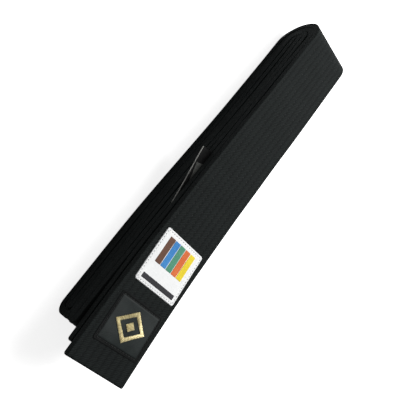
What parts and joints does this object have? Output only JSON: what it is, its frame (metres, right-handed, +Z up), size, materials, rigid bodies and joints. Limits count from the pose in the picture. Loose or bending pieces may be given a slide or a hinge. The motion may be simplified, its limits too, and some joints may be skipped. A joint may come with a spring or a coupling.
{
  "type": "martial arts belt",
  "caption": "Padded black cotton belt folded flat into a long stack, with two free ends that lift, a satin label with an embroidered motif and a white woven label.",
  "frame": {"origin": "on the surface the folded belt lies on, under the middle of its length and width", "axes": "+X along the folded belt from the free ends to the round far folds, +Y to the side where the care label sticks out, +Z up through the layers"},
  "size_m": [0.311, 0.0515, 0.0427],
  "materials": {
    "belt_cover": "black cotton, quilted in fine lengthwise rows",
    "belt_core": "undyed cotton",
    "black_satin": "black satin with a soft sheen",
    "black_thread": "black sewing thread",
    "gold_thread": "glossy pale gold embroidery thread",
    "white_weave": "white woven label",
    "grey_thread": "light grey sewing thread",
    "print_yellow": "yellow woven stripe",
    "print_orange": "orange woven stripe",
    "print_green": "green woven stripe",
    "print_blue": "blue woven stripe",
    "print_brown": "brown woven stripe",
    "print_black": "black woven bar",
    "care_tape": "pale satin tape"
  },
  "bodies": {
    "stack": {"cover_stack": "belt_cover", "core_ply_a_stack": "belt_core", "core_ply_b_stack": "belt_core", "care_label": "care_tape"},
    "free_ends": {"cover_second_end": "belt_cover", "core_ply_a_second_end": "belt_core", "core_ply_b_second_end": "belt_core", "cover_label_end_root": "belt_cover", "core_ply_a_label_end_root": "belt_core", "core_ply_b_label_end_root": "belt_core"},
    "label_end": {"cover_label_end": "belt_cover", "core_ply_a_label_end": "belt_core", "core_ply_b_label_end": "belt_core", "black_label": "black_satin", "black_label_stitches": "black_thread", "gold_motif_frame": "gold_thread", "gold_motif_centre": "gold_thread", "white_label": "white_weave", "white_label_stitches": "grey_thread", "print_stripe_yellow": "print_yellow", "print_stripe_orange": "print_orange", "print_stripe_green": "print_green", "print_stripe_blue": "print_blue", "print_stripe_brown": "print_brown", "print_word_bar": "print_black"}
  },
  "joints": [
    {"name": "free_ends_lift", "type": "hinge", "parent": "stack", "child": "free_ends", "pos_m": [0.1125, 0, 0.0404], "axis": [0, 1, 0], "range_deg": [0, 70]},
    {"name": "label_end_lift", "type": "hinge", "parent": "free_ends", "child": "label_end", "pos_m": [0.0445, 0, 0.0404], "axis": [0, 1, 0], "range_deg": [0, 110]}
  ]
}
